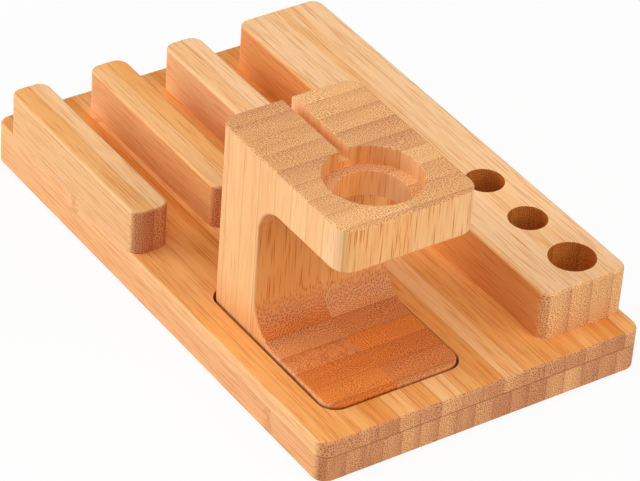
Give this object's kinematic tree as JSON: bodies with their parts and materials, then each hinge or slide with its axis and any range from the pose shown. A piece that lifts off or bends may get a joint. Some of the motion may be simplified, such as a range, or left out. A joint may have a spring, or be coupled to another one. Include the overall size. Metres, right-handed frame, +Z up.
{
  "type": "bamboo desk charging dock",
  "caption": "Bamboo desk dock with upright divider rails that make device slots, a pen block with drilled holes, and a C-shaped watch stand that lifts out of its pocket.",
  "frame": {"origin": "centre of the base's footprint, on the desk under its pads", "axes": "+X along the base towards the watch stand's end, +Y towards the pen block, +Z up"},
  "size_m": [0.19, 0.116, 0.0796],
  "materials": {
    "bamboo_base": "satin",
    "bamboo_rail": "satin",
    "bamboo_block": "satin",
    "bamboo_stand": "satin",
    "screw_steel": "zinc plated",
    "pad_rubber": "matte"
  },
  "bodies": {
    "dock": {"base_lower_board": "bamboo_base", "base_upper_board": "bamboo_base", "divider_rail_front": "bamboo_rail", "divider_rail_middle": "bamboo_rail", "divider_rail_rear": "bamboo_rail", "pen_block": "bamboo_block", "rail_screws": "screw_steel", "pen_block_screws": "screw_steel", "foot_pad_front_left": "pad_rubber", "foot_pad_front_right": "pad_rubber", "foot_pad_rear_left": "pad_rubber", "foot_pad_rear_right": "pad_rubber"},
    "stand": {"watch_stand": "bamboo_stand"}
  },
  "joints": [
    {"name": "stand_lift", "type": "slide", "parent": "dock", "child": "stand", "axis": [0, 0, 1], "range_m": [0, 0.06]}
  ]
}
